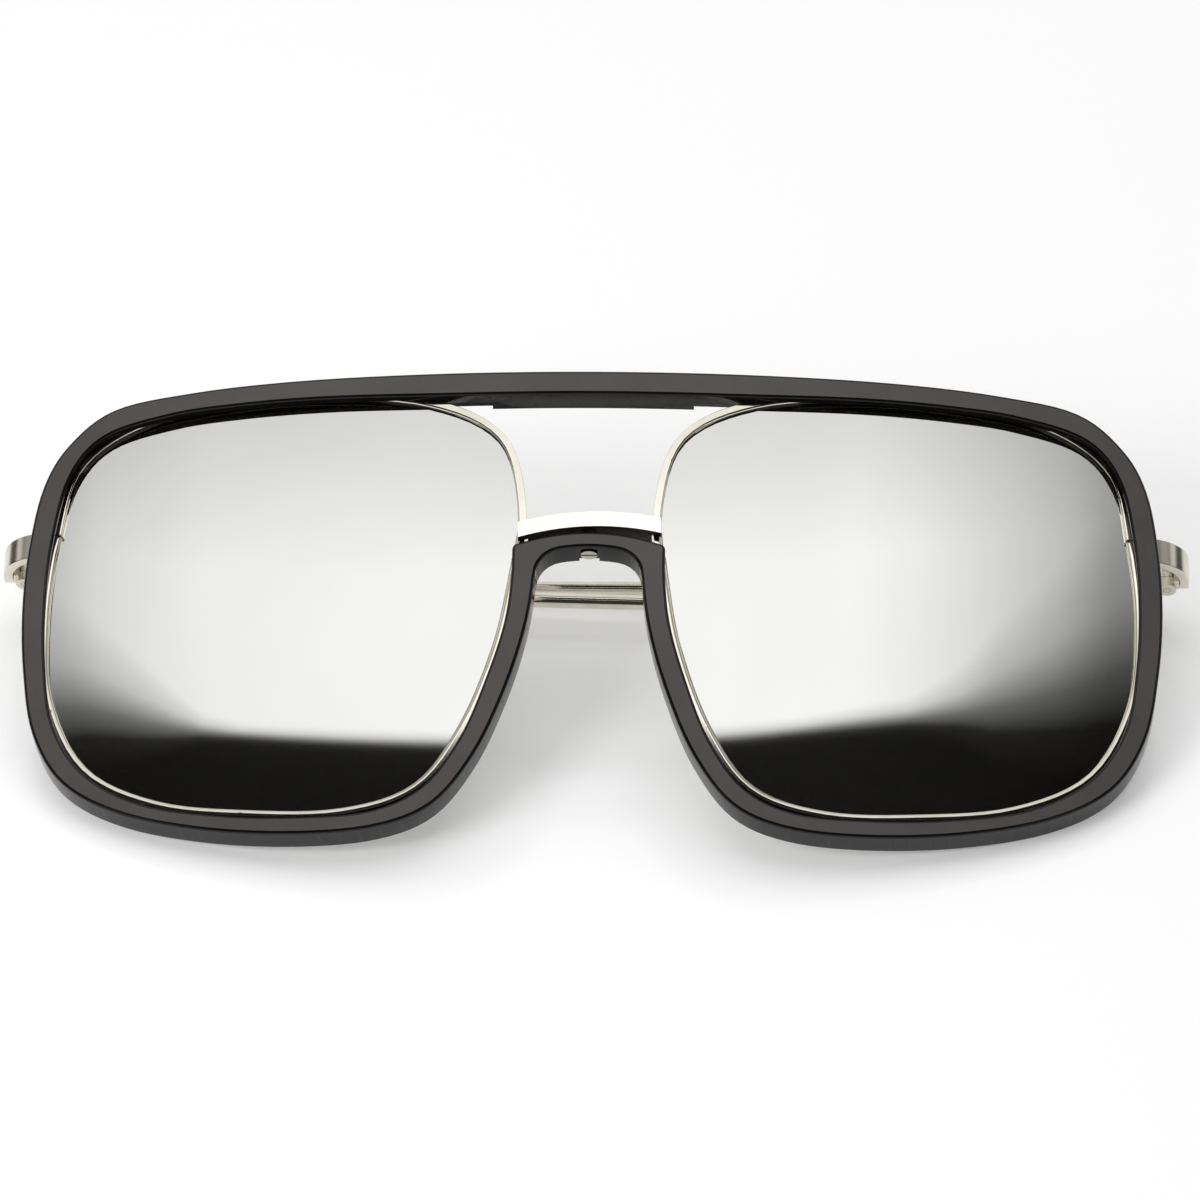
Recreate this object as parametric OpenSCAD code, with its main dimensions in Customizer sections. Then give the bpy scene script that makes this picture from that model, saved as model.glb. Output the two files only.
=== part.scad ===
// Square sunglasses, folded and lying on their back: a black front carries two
// metal rims with mirrored lenses, and two thin metal temples fold behind it.
// Sizes are in millimetres. Every piece is drawn on the upright front first:
// X across the face, Y up from the lowest edge, Z towards the viewer.
// The module lying() then lays the whole thing on the floor, with +Z up.

/* [Front] */
// Width across the black front
front_w = 150.4; // [144:0.2:156]
// Height of the black front
front_h = 67.3; // [64:0.1:71]
// Radius that the front is wrapped on, seen from above
wrap_r = 300; // [260:5:400]
// Thickness of the black front, from its face to its back
front_depth = 3.9; // [3.7:0.1:4.6]
// Width of the black legs beside the nose
leg_w = 3.1; // [2.8:0.1:3.4]
// Half the width of the nose opening at its top
nose_half_w = 6.9; // [6.4:0.1:7.4]
// Height of the underside of the black arch over the nose
arch_y = 40.7; // [40.4:0.1:42]
// Thickness of the black arch at its middle
arch_t = 2.2; // [2:0.1:2.6]
// Radius inside the two corners of the arch
arch_corner_r = 3.8; // [3:0.1:3.9]
// Depth of the shallow rebate under the top bar, outside its middle
bar_rebate = 0.5; // [0.3:0.1:0.8]
// Half the length of the middle of the top bar, which has no rebate
bar_middle = 13.4; // [12.5:0.1:15]

/* [Rims and lenses] */
// Width of a metal rim, seen from the front
rim_w = 1.15; // [1:0.05:1.3]
// Depth of a metal rim, from front to back
rim_depth = 2.6; // [2.4:0.1:2.8]
// How far the rims sit behind the face of the front, at mid height
rim_set_back = 0.75; // [0.7:0.05:1]
// Angle that the rims lean back from the front
rim_lean = 1.1; // [0.8:0.1:1.3]
// Depth of the groove that holds the lens
groove_d = 0.5; // [0.4:0.05:0.6]
// Width of that groove
groove_w = 0.8; // [0.7:0.05:0.9]
// Distance from the front of the rim to the front of the lens
lens_set_back = 0.65; // [0.6:0.05:1]
// Thickness of a lens
lens_t = 1.5; // [1.4:0.1:1.6]
// Height of the saw cut where each rim opens to take its lens
split_y = 47.4; // [46.5:0.1:48.5]
// Width of that saw cut
split_w = 0.16; // [0.1:0.02:0.24]

/* [Bridge] */
// Half the length of the metal bridge bar
bridge_half_w = 9.4; // [9.2:0.1:9.8]
// Height of the bar, seen from the front
bridge_h = 2.2; // [2:0.1:2.4]
// Height of the top of the bar, at its middle
bridge_top = 45.8; // [45.6:0.1:46.6]
// Radius that the bar is arched on
bridge_r = 36; // [30:1:50]
// Thickness of the two ends of the bar, which lap over the rims
bridge_t = 1.2; // [1:0.1:1.3]
// Depth of the bar between the rims, from front to back
bridge_depth = 3.4; // [3:0.1:3.6]
// Angle that the bar is turned by, its right end up
bridge_turn = 2.2; // [0:0.2:2.4]
// Radius of the post between the arch and the bar
post_r = 0.9; // [0.8:0.05:1]
// Distance of the post and its screw behind the face of the front
post_back = 2; // [1.9:0.1:2.2]
// Radius of the bridge screw's shank
bridge_screw_r = 0.5; // [0.4:0.05:0.6]
// Radius of the bridge screw's head
bridge_head_r = 1.1; // [1:0.05:1.2]
// Thickness of the bridge screw's head
bridge_head_t = 0.6; // [0.5:0.05:0.7]
// Width of the notch that the head sits in
notch_w = 2.6; // [2.5:0.1:3]
// How far the screw's head stands below the arch
bridge_head_out = 0.25; // [0.1:0.05:0.4]

/* [End pieces and hinges] */
// How far an end piece reaches outside the front
end_out = 4.5; // [4.2:0.1:5]
// Height of the middle of an end piece, and of its hinge
end_y = 48; // [47.7:0.1:48.3]
// Height of the strap that an end piece is made from
strap_h = 3.7; // [3.4:0.1:3.9]
// Thickness of that strap
strap_t = 1.3; // [1.1:0.1:1.4]
// Outer radius of the strap's bend
strap_bend_r = 6.3; // [5.8:0.1:6.3]
// Distance of the hinge pin behind the face of the front's middle
hinge_back = 21.2; // [20.8:0.1:21.6]
// Distance of the hinge pin inside the outer side of the end piece
hinge_in = 2.85; // [2.8:0.05:3]
// Radius of the hinge knuckles
knuckle_r = 1.25; // [1.2:0.05:1.3]
// Height of the three knuckles together
hinge_h = 4.4; // [4:0.1:5]
// Height of the middle knuckle
middle_knuckle_h = 1.4; // [1.2:0.1:1.7]
// Radius of the hinge screw's shank
hinge_screw_r = 0.5; // [0.45:0.05:0.6]
// Radius of the hinge screw's head
hinge_head_r = 1; // [0.9:0.05:1.1]
// Thickness of the hinge screw's head
hinge_head_t = 0.45; // [0.4:0.05:0.6]
// Length of a closing block, across the front
block_l = 2.8; // [2.4:0.1:2.8]
// Height of each closing block
block_h = 2; // [1.7:0.1:2.1]
// Radius of the closing screw's shank
closing_screw_r = 0.45; // [0.4:0.05:0.5]
// Radius of the closing screw's head
closing_head_r = 0.85; // [0.8:0.05:0.9]
// Thickness of the closing screw's head
closing_head_t = 0.4; // [0.3:0.05:0.5]

/* [Temples] */
// Radius of the round temple bar
bar_r = 1; // [0.9:0.05:1.05]
// Distance of the temple bar outside the hinge pin
bar_out = 2.3; // [2.25:0.05:2.5]
// Length of the long stretch, from the hinge to the ear bend
bar_l = 90; // [88:1:91]
// Radius that the long stretch is bowed on
bow_r = 2300; // [2200:50:2500]
// Radius of the ear bend
ear_r = 36; // [34:1:40]
// Angle of the ear bend
ear_angle = 24; // [23:1:26]
// How far the ear bend leans in towards the head
ear_lean = 24; // [22:1:25]
// Length of the straight end behind the ear
ear_end_l = 32; // [28:1:34]
// Length of the plastic tip ahead of the ear bend
tip_lead = 2; // [1.5:0.5:3]
// Radius of the plastic tip where it starts
tip_start_r = 1.2; // [1.15:0.05:1.25]
// Radius of the wire inside the ear bend
core_r = 0.9; // [0.8:0.05:0.9]
// Radius of the plastic tip at its thick end
tip_end_r = 1.7; // [1.5:0.05:1.8]
// Distance that the bar stops short of the tip's end
bar_short = 8; // [6:1:12]
// Angle that the temples droop below the front's square, when worn
droop = 7; // [6:1:8]
// Angle that the left temple is folded through, in the lying pose
left_fold = 88.5; // [88.3:0.1:89]
// Angle that the right temple is folded through, in the lying pose
right_fold = 85.7; // [85.4:0.1:85.8]
// Angle that each hinge pin is tilted, so the right temple folds above the left
pin_tilt = 1.8; // [1.7:0.1:2]

/* [Clearances] */
// Gap around a rim in its seat in the front
seat_gap = 0.1; // [0.06:0.02:0.14]
// Gap around a lens edge in its groove
lens_gap = 0.05; // [0.03:0.01:0.08]
// Gap around a pin or a screw in its bore
bore_gap = 0.05; // [0.03:0.01:0.07]
// Gap between moving faces of the hinge
hinge_gap = 0.06; // [0.04:0.01:0.08]
// Gap between the end of a temple bar and its end piece
butt_gap = 0.2; // [0.15:0.01:0.3]
// Gap between brazed metal pieces and the black front
metal_gap = 0.12; // [0.08:0.02:0.2]

/* [Hidden] */

$fn = 96;
round_fn = 48;
wrap_fn = 256;
steps = 6;
reach = 40;
tiny = 0.01;

half_w = front_w / 2;
end_x = half_w + end_out;
mid_y = front_h / 2;
leg_x = nose_half_w + leg_w;

// Half of the outer edge of the front, from the middle of the top bar down to the nose
outer_half = [[0, front_h], [20, front_h], [40, front_h - 0.1], [54, front_h - 0.7],
    [half_w - 10.7, front_h - 2.2], [half_w - 4.7, front_h - 6.9], [half_w - 1.6, front_h - 13],
    [half_w - 0.25, front_h - 22], [half_w, front_h - 31], [half_w - 0.8, 27], [half_w - 2.8, 17.4],
    [half_w - 7.4, 9.6], [59.6, 4.4], [48, 1.2], [36, 0], [26, 0.7], [19, 3.8],
    [nose_half_w + 7.1, 10.7], [nose_half_w + 3.6, 19.3], [nose_half_w + 1.2, 28],
    [nose_half_w + 0.1, 36]];

// Half of the inner edge, from the middle of the top bar round the lens and up the leg
inner_half = [[0, front_h - 3.5], [20, front_h - 3.5], [36, front_h - 3.2], [48, front_h - 3.4],
    [57, front_h - 4.1], [half_w - 9.6, front_h - 6.4], [half_w - 5.3, front_h - 11.9],
    [half_w - 3.6, front_h - 21], [half_w - 3.2, front_h - 30], [half_w - 3.8, 27.5],
    [half_w - 5.6, 18.2], [half_w - 10.3, 10.7], [57, 5.7], [46.5, 3.3], [36, 2.5], [27, 3],
    [20.6, 6.2], [nose_half_w + 9.2, 12.8], [nose_half_w + 6, 21.6], [leg_x + 0.75, 29.8],
    [leg_x, 37.5]];

// The visible edge of the right lens, clockwise from the top of the nose side
lens_edge = [[9.5, 47], [12.4, 57.6], [21.8, front_h - 4.3], [36, front_h - 2.4], [50, front_h - 2.7],
    [61.5, front_h - 4.8], [half_w - 6.4, front_h - 10.7], [half_w - 4.3, front_h - 22],
    [half_w - 3.7, 35], [half_w - 5, 23], [half_w - 10.4, 12.1], [55, 6.3], [43, 4.1],
    [31, 3.7], [21.8, 6.8], [16.2, 15.2], [12.3, 26.5], [10.4, 37.5]];

// A point on a smooth curve between b and c, with a and d as its neighbours
function on_curve(a, b, c, d, t) =
    0.5 * (2 * b + (c - a) * t + (2 * a - 5 * b + 4 * c - d) * t * t
           + (3 * b - a - 3 * c + d) * t * t * t);

// A closed smooth curve through all the points of p
function closed_curve(p) = let (n = len(p))
    [for (i = [0:n - 1], k = [0:steps - 1])
        on_curve(p[(i + n - 1) % n], p[i], p[(i + 1) % n], p[(i + 2) % n], k / steps)];

// An open smooth curve that starts level at a mirror line and ends straight up
function open_curve(p) = let (n = len(p), first = [-p[1][0], p[1][1]],
        last = p[n - 1] + [0, norm(p[n - 1] - p[n - 2])],
        q = concat([first], p, [last]))
    concat([for (i = [1:n - 1], k = [0:steps - 1])
        on_curve(q[i - 1], q[i], q[i + 1], q[i + 2], k / steps)], [p[n - 1]]);

// A clockwise closed curve moved outwards by d
function grown(p, d) = let (n = len(p))
    [for (i = [0:n - 1]) let (t = p[(i + 1) % n] - p[(i + n - 1) % n])
        p[i] + d * [-t[1], t[0]] / norm(t)];

// Points of an arc round c, from angle a to angle b
function arc(c, r, a, b) = [for (k = [0:steps]) let (t = a + (b - a) * k / steps)
    c + r * [cos(t), sin(t)]];

// A half outline joined to its mirror image
function both_halves(p) = let (n = len(p))
    concat(p, [for (i = [n - 1:-1:0]) if (p[i][0] > tiny) [-p[i][0], p[i][1]]]);

// A low dome from its side at x to its top in the middle, without its first point
function dome(x, top, fall) = [for (k = [steps - 1:-1:0]) let (t = k / steps) [x * t, top - fall * t * t]];

// A leg's side turns into the domed arch on a corner arc, which ends level with the dome
function arched(x, r, top, fall, a) = let (side = x - r + r * cos(a))
    concat(arc([x - r, top - fall - r * sin(a)], r, 0, a), dome(side, top, fall));
arch_end_angle = 80;
arch_dome = (nose_half_w - arch_corner_r * (1 - cos(arch_end_angle))) * tan(90 - arch_end_angle) / 2;
outer_edge = both_halves(concat(open_curve(outer_half),
    arched(nose_half_w, arch_corner_r, arch_y, arch_dome, arch_end_angle)));
leg_corner_r = 0.9;
arch_fall = 1.6;
inner_edge = both_halves(concat(open_curve(inner_half),
    arched(leg_x, leg_corner_r, arch_y + arch_t, arch_fall, 72)));

lens_curve = closed_curve(lens_edge);

// Depth of a surface of the wrapped front at x, d behind the face
function wrap_z(x, d) = sqrt(pow(wrap_r - d, 2) - x * x) - wrap_r;

function rounded(v) = round(v * 100) / 100;
function turn_x(v, a) = [v[0], v[1] * cos(a) - v[2] * sin(a), v[1] * sin(a) + v[2] * cos(a)];
function turn_y(v, a) = [v[0] * cos(a) + v[2] * sin(a), v[1], v[2] * cos(a) - v[0] * sin(a)];
function turn_z(v, a) = [v[0] * cos(a) - v[1] * sin(a), v[0] * sin(a) + v[1] * cos(a), v[2]];

// A bend runs along -Z and curves towards -Y, turned about Z by the angle given
function bend_end(r, a, towards) = turn_z([0, r * (cos(a) - 1), -r * sin(a)], towards);
function after_bend(v, r, a, towards) = bend_end(r, a, towards)
    + turn_z(turn_x(turn_z(v, -towards), -a), towards);

hinge_x = end_x - hinge_in;
inwards = -90;
function arc_angle(l, r) = l / r * 180 / PI;
bow_angle = arc_angle(bar_l, bow_r);

// Middle of the temple at an angle round its ear bend, and at its thick end
function ear_point(a) = [bar_out, 0, -butt_gap]
    + after_bend(bend_end(ear_r, a, -ear_lean), bow_r, bow_angle, inwards);
function end_point(l) = [bar_out, 0, -butt_gap]
    + after_bend(after_bend([0, 0, -l], ear_r, ear_angle, -ear_lean), bow_r, bow_angle, inwards);
function fold_angle(side) = side > 0 ? right_fold : left_fold;
function folded_point(v, side) = let (p = [hinge_x, end_y, -hinge_back]
        + turn_x(turn_z(turn_y(v, fold_angle(side)), -side * pin_tilt), -droop))
    [side * p[0], p[1], p[2]];

// Places where a folded temple may touch the floor, each with the radius there
touches = [for (side = [1, -1], a = [0:ear_angle / 12:ear_angle])
        concat(folded_point(ear_point(a), side), tip_start_r),
    for (side = [1, -1]) concat(folded_point(end_point(ear_end_l - tip_end_r), side), tip_end_r)];

// The lying pose: the front leans back until its lowest edge and a temple both touch the floor
function touch_tilt(y, z, t) = atan((z - t[2]) / (t[1] - y)) + asin(t[3] / norm([t[1] - y, z - t[2]]));
lie_tilt = min([for (p = outer_edge) if (p[1] < mid_y / 2)
    max([for (t = touches) touch_tilt(p[1], wrap_z(p[0], front_depth), t)])]);

function height(y, z) = y * sin(lie_tilt) + z * cos(lie_tilt);
function along(y, z) = y * cos(lie_tilt) - z * sin(lie_tilt);
floor_h = min([for (p = outer_edge) height(p[1], wrap_z(p[0], front_depth))]);
near_y = min([for (p = outer_edge) along(p[1], wrap_z(p[0], 0))]);
far_y = max([for (p = outer_edge) along(p[1], wrap_z(p[0], front_depth))]);

// Lays upright pieces down in the object's own frame
module lying() {
    translate([0, -(near_y + far_y) / 2, -floor_h])
        rotate([lie_tilt, 0, 0]) children();
}

// Draws a right-hand piece on the chosen side
module sided(side) {
    if (side > 0) children();
    else mirror([1, 0, 0]) children();
}

// Everything behind the wrapped surface that lies d behind the face
module behind(d) {
    translate([0, mid_y, -wrap_r]) rotate([90, 0, 0])
        cylinder(r = wrap_r - d, h = 2 * front_h, center = true, $fn = wrap_fn);
}

// A layer of the wrapped front, from depth d0 to depth d1, cut to an outline
module layer(outline, d0, d1) {
    difference() {
        intersection() {
            translate([0, 0, -reach]) linear_extrude(reach + 1) polygon(outline);
            behind(d0);
        }
        behind(d1);
    }
}

// The rims and lenses lean back a little, about the middle of the front
module leaning() {
    translate([0, mid_y, -rim_set_back]) rotate([-rim_lean, 0, 0])
        translate([0, -mid_y, 0]) children();
}

// Seats for the rims, open to the back
module rim_seat() {
    leaning() intersection() {
        translate([0, 0, -reach]) linear_extrude(reach + 1)
            polygon(grown(lens_curve, rim_w + seat_gap));
        behind(-seat_gap);
    }
}

// Shallow rebate under one side of the top bar
module top_bar_rebate() {
    rebate_front = 1.6;
    translate([bar_middle, front_h - 3.6, -reach])
        cube([12, 0.1 + bar_rebate, reach + wrap_z(bar_middle + 12, rebate_front)]);
}

arch_notch_top = arch_y + bridge_head_t - bridge_head_out;
module screw_notch() {
    translate([-notch_w / 2, arch_y - arch_dome - 1, -reach])
        cube([notch_w, arch_notch_top - arch_y + arch_dome + 1, reach - post_back + bridge_head_r + 0.1]);
}

module front_frame() {
    color([0.28, 0.275, 0.28]) lying() difference() {
        layer(outer_edge, 0, front_depth);
        translate([0, 0, -reach]) linear_extrude(2 * reach) polygon(inner_edge);
        for (side = [-1, 1]) sided(side) {
            rim_seat();
            top_bar_rebate();
        }
        screw_notch();
        upright_rod(0, -post_back, bridge_screw_r + bore_gap, arch_y - 1, arch_y + arch_t + 1);
    }
}

// A round rod along Y, from y0 to y1
module upright_rod(x, z, r, y0, y1) {
    translate([x, y0, z]) rotate([-90, 0, 0]) cylinder(r = r, h = y1 - y0, $fn = round_fn);
}

lens_mid_d = lens_set_back + lens_t / 2;

module rim(side) {
    color([0.86, 0.84, 0.78]) lying() sided(side) leaning() difference() {
        layer(grown(lens_curve, rim_w), 0, rim_depth);
        translate([0, 0, -reach]) linear_extrude(2 * reach) polygon(lens_curve);
        layer(grown(lens_curve, groove_d), lens_mid_d - groove_w / 2, lens_mid_d + groove_w / 2);
        translate([half_w - 7, split_y - split_w / 2, -reach]) cube([8, split_w, reach]);
    }
}

module lens(side) {
    tongue = groove_w / 2 - lens_gap;
    color([0.8, 0.81, 0.8]) lying() sided(side) leaning() union() {
        layer(grown(lens_curve, -lens_gap), lens_set_back, lens_set_back + lens_t);
        layer(grown(lens_curve, groove_d - lens_gap), lens_mid_d - tongue, lens_mid_d + tongue);
    }
}

// The bar laps over the front of both rims, stands between them, and is brazed to both
lap_l = 1;
bar_back_z = rounded(wrap_z(bridge_half_w - lap_l, 0) - rim_set_back
    - (bridge_top - 3.5 - mid_y) * sin(rim_lean)) + 0.02;
between_rims = rounded(min([for (p = grown(lens_curve, rim_w)) p[0]]) - 0.15);
bar_y = bridge_top - bridge_h / 2;

// Draws pieces of the bar, turned about the bar's middle
module bar_turned() {
    translate([0, bar_y, bar_back_z]) rotate([0, 0, bridge_turn]) translate([0, -bar_y, 0]) children();
}

module bar_arc(half_l, back, front) {
    intersection() {
        translate([0, bridge_top - bridge_r, back]) difference() {
            cylinder(r = bridge_r, h = front - back, $fn = wrap_fn);
            translate([0, 0, -1]) cylinder(r = bridge_r - bridge_h, h = front - back + 2, $fn = wrap_fn);
        }
        translate([-half_l, bridge_top - 10, back - 1]) cube([2 * half_l, 12, front - back + 2]);
    }
}

module bridge() {
    color([0.9, 0.88, 0.82]) lying() difference() {
        bar_turned() union() {
            bar_arc(bridge_half_w, 0, bridge_t);
            bar_arc(between_rims, bridge_t - bridge_depth, bridge_t - 0.2);
        }
        upright_rod(0, -post_back, bridge_screw_r + bore_gap, arch_y, bar_y + 0.5);
    }
}

// The post is brazed under the bar and stands on the arch
post_y = arch_y + arch_t + 0.05;
module bridge_post() {
    color([0.84, 0.82, 0.76]) lying() difference() {
        intersection() {
            upright_rod(0, -post_back, post_r, post_y, bar_y);
            bar_turned() translate([0, bridge_top - bridge_r, -reach])
                cylinder(r = bridge_r - bridge_h, h = 2 * reach, $fn = wrap_fn);
        }
        upright_rod(0, -post_back, bridge_screw_r + bore_gap, post_y - 1, bar_y + 1);
    }
}

// A screw along Y: the head is at y and the shank runs to y_end
module screw(x, y, z, y_end, r, head_r, head_t) {
    up = y_end > y ? 1 : -1;
    slot_w = 0.3;
    slot_d = 0.45 * head_t;
    difference() {
        union() {
            upright_rod(x, z, head_r, min(y, y + up * head_t), max(y, y + up * head_t));
            upright_rod(x, z, r, min(y + up * head_t, y_end), max(y + up * head_t, y_end));
        }
        translate([x - head_r - 1, y - slot_d, z - slot_w / 2])
            cube([2 * head_r + 2, 2 * slot_d, slot_w]);
    }
}

module bridge_screw() {
    color([0.75, 0.74, 0.7]) lying()
        screw(0, arch_notch_top - bridge_head_t, -post_back, bar_y + 0.3,
              bridge_screw_r, bridge_head_r, bridge_head_t);
}

// The closing blocks stand behind the front, with a tab that reaches the rim's back
block_x0 = half_w - 5;
strap_x0 = block_x0 + block_l;
strap_face = rounded(wrap_z(half_w, front_depth + metal_gap));
block_back = strap_face - strap_t;
block_screw_x = block_x0 + block_l / 2;
block_screw_z = block_back + closing_head_r + 0.25;
strap_clear = 0.15;

module block(side, up) {
    y0 = up > 0 ? split_y + split_w / 2 : split_y - split_w / 2 - block_h;
    short = up > 0 ? 0 : strap_clear;
    color([0.82, 0.8, 0.74]) lying() sided(side) difference() {
        union() {
            intersection() {
                translate([block_x0, y0, block_back]) cube([block_l - short, block_h, reach]);
                behind(front_depth + metal_gap);
            }
            intersection() {
                translate([block_x0, y0, block_back]) cube([block_l - short, block_h, reach]);
                leaning() difference() {
                    layer(grown(lens_curve, rim_w), rim_depth + 0.02, rim_depth + 3);
                    translate([0, 0, -reach]) linear_extrude(2 * reach) polygon(lens_curve);
                }
            }
        }
        upright_rod(block_screw_x, block_screw_z, closing_screw_r + bore_gap,
                    y0 - 1, up > 0 ? y0 + block_h - 0.3 : y0 + block_h + 1);
    }
}

module closing_screw(side) {
    color([0.74, 0.73, 0.69]) lying() sided(side)
        screw(block_screw_x, split_y - split_w / 2 - block_h - closing_head_t - 0.02,
              block_screw_z, split_y + block_h - 0.5, closing_screw_r, closing_head_r, closing_head_t);
}

strap_end_z = -hinge_back + hinge_gap;
bend_x = end_x - strap_bend_r;
bend_z = strap_face - strap_bend_r;

// The strap seen from above: along the back of the front, round the bend and back
module strap_outline() {
    intersection() {
        translate([bend_x, bend_z]) difference() {
            circle(r = strap_bend_r, $fn = wrap_fn);
            circle(r = strap_bend_r - strap_t, $fn = wrap_fn);
        }
        translate([bend_x, bend_z]) square(strap_bend_r + 1);
    }
    translate([strap_x0, strap_face - strap_t]) square([bend_x - strap_x0, strap_t]);
    translate([end_x - strap_t, strap_end_z]) square([strap_t, bend_z - strap_end_z]);
}

module end_piece(side) {
    color([0.85, 0.83, 0.77]) lying() sided(side)
        translate([0, end_y + strap_h / 2, 0]) rotate([90, 0, 0])
            linear_extrude(strap_h) strap_outline();
}

// The temple frame: its origin is on the hinge pin, Y is along the pin, X points
// outwards, and the open temple runs along -Z. The two pins tilt opposite ways
module at_hinge(side) {
    sided(side) translate([hinge_x, end_y, -hinge_back])
        rotate([-droop, 0, 0]) rotate([0, 0, -side * pin_tilt]) children();
}

// Undoes the pin's tilts, so that a leaf lies square on its strap
module squared(side) {
    rotate([0, 0, side * pin_tilt]) rotate([droop, 0, 0]) children();
}

module knuckle(y0, y1) {
    upright_rod(0, 0, knuckle_r, y0, y1);
}

leaf_l = 2.2;
inner_x = hinge_in - strap_t;
leaf_t = 0.8;
// The leaf lies on the straight end of the strap and just clears the inside of the bend
module leaf() {
    straight_l = rounded(bend_z - strap_end_z);
    translate([inner_x - leaf_t, -strap_h / 2, hinge_gap]) cube([leaf_t, strap_h, straight_l]);
    intersection() {
        translate([inner_x - leaf_t, -strap_h / 2, hinge_gap]) cube([leaf_t, strap_h, leaf_l]);
        translate([bend_x - hinge_x, 0, bend_z + hinge_back]) rotate([90, 0, 0])
            cylinder(r = strap_bend_r - strap_t - 0.05, h = 2 * strap_h, center = true, $fn = wrap_fn);
    }
}

module front_hinge(side) {
    half = hinge_h / 2;
    mid = middle_knuckle_h / 2 + hinge_gap;
    color([0.8, 0.78, 0.72]) lying() at_hinge(side) difference() {
        union() {
            knuckle(mid, half);
            knuckle(-half, -mid);
            squared(side) leaf();
        }
        upright_rod(0, 0, hinge_screw_r + bore_gap, -half - 1, half + 1);
        upright_rod(0, 0, knuckle_r + 2 * hinge_gap, -mid, mid);
        squared(side) translate([inner_x, -5, 0]) cube([5, 10, 10]);
    }
}

module hinge_screw(side) {
    color([0.74, 0.73, 0.69]) lying() at_hinge(side)
        screw(0, hinge_h / 2 + hinge_head_t + 0.02, 0, -hinge_h / 2,
              hinge_screw_r, hinge_head_r, hinge_head_t);
}

// Folds a temple inwards about its pin
module folded(side) {
    lying() at_hinge(side) rotate([0, fold_angle(side), 0]) children();
}

// A bar on an arc, between two lengths along it: it passes the origin along -Z and
// curves towards -Y
module bent_bar(r, bend_r, from, to) {
    translate([0, -bend_r, 0]) rotate([0, -90, 0]) rotate([0, 0, 90 + arc_angle(from, bend_r)])
        rotate_extrude(angle = arc_angle(to - from, bend_r), $fn = wrap_fn)
            translate([bend_r, 0]) circle(r = r, $fn = round_fn);
}

// Moves its children to the far end of a bend that curves towards the angle given
module past_bend(bend_r, angle, towards) {
    rotate([0, 0, towards])
        translate([0, -bend_r * (1 - cos(angle)), -bend_r * sin(angle)])
            rotate([-angle, 0, 0]) rotate([0, 0, -towards]) children();
}

module past_bow() {
    translate([bar_out, 0, -butt_gap]) past_bend(bow_r, bow_angle, inwards) children();
}

module past_ear() {
    past_bow() past_bend(ear_r, ear_angle, -ear_lean) children();
}

module straight_bar(r, l) {
    rotate([180, 0, 0]) cylinder(r = r, h = l, $fn = round_fn);
}

// The bar ends inside the plastic tip, where thinner wire carries on round the ear.
// Each thinner stretch starts a little way inside the thicker one
core_step = 0.05;
step_in = 0.5;
ear_l = ear_angle * PI / 180 * ear_r;
wire_l = ear_end_l - bar_short;

module temple(side) {
    color([0.85, 0.83, 0.77]) folded(side) union() {
        translate([bar_out, 0, -butt_gap]) rotate([0, 0, inwards]) bent_bar(bar_r, bow_r, 0, bar_l);
        past_bow() rotate([0, 0, -ear_lean]) bent_bar(core_r, ear_r, -step_in, ear_l);
        past_ear() translate([0, 0, step_in]) straight_bar(core_r - core_step, wire_l + step_in);
    }
}

module temple_hinge(side) {
    plate_l = 4.6;
    plate_x = bar_out - bar_r - 0.55;
    color([0.8, 0.78, 0.72]) folded(side) difference() {
        union() {
            knuckle(-middle_knuckle_h / 2, middle_knuckle_h / 2);
            translate([plate_x, -middle_knuckle_h / 2, -butt_gap - plate_l])
                cube([bar_out - plate_x, middle_knuckle_h, plate_l]);
        }
        upright_rod(0, 0, hinge_screw_r + bore_gap, -hinge_h, hinge_h);
        translate([bar_out, 0, 0]) straight_bar(bar_r + 0.02, 2 * plate_l);
    }
}

// The plastic tip is a sleeve on the bar, thickest near its round end. It has a low
// collar at its start, and its bore follows the steps of the wire
module temple_tip(side) {
    color([0.12, 0.12, 0.13]) folded(side) difference() {
        union() {
            past_bow() rotate([0, 0, inwards]) bent_bar(tip_start_r + core_step, bow_r, -tip_lead, 0);
            past_bow() rotate([0, 0, -ear_lean]) bent_bar(tip_start_r, ear_r, -step_in, ear_l + step_in);
            past_ear() rotate([180, 0, 0]) tip_end();
        }
        past_bow() rotate([0, 0, inwards]) bent_bar(bar_r + bore_gap, bow_r, -tip_lead - 1, bore_gap);
        past_bow() rotate([0, 0, -ear_lean]) bent_bar(core_r + bore_gap, ear_r, -step_in, ear_l + bore_gap);
        past_ear() translate([0, 0, step_in])
            straight_bar(core_r - core_step + bore_gap, wire_l + step_in + 0.3);
    }
}

module tip_end() {
    pin_l = 8;
    dome = [for (a = [0:15:90]) [tip_end_r * cos(a), ear_end_l - tip_end_r + tip_end_r * sin(a)]];
    rotate_extrude($fn = round_fn) polygon(concat([[0, 0], [tip_start_r + core_step, 0],
        [tip_end_r, ear_end_l - tip_end_r - pin_l]], dome));
}

front_frame();
rim(-1);  // left_rim
rim(1);  // right_rim
lens(-1);  // left_lens
lens(1);  // right_lens
bridge();
bridge_post();
bridge_screw();
block(-1, 1);  // left_upper_block
block(1, 1);  // right_upper_block
block(-1, -1);  // left_lower_block
block(1, -1);  // right_lower_block
closing_screw(-1);  // left_closing_screw
closing_screw(1);  // right_closing_screw
end_piece(-1);  // left_end_piece
end_piece(1);  // right_end_piece
front_hinge(-1);  // left_front_hinge
front_hinge(1);  // right_front_hinge
hinge_screw(-1);  // left_hinge_screw
hinge_screw(1);  // right_hinge_screw
temple_hinge(-1);  // left_temple_hinge
temple_hinge(1);  // right_temple_hinge
temple(-1);  // left_temple
temple(1);  // right_temple
temple_tip(-1);  // left_temple_tip
temple_tip(1);  // right_temple_tip
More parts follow.
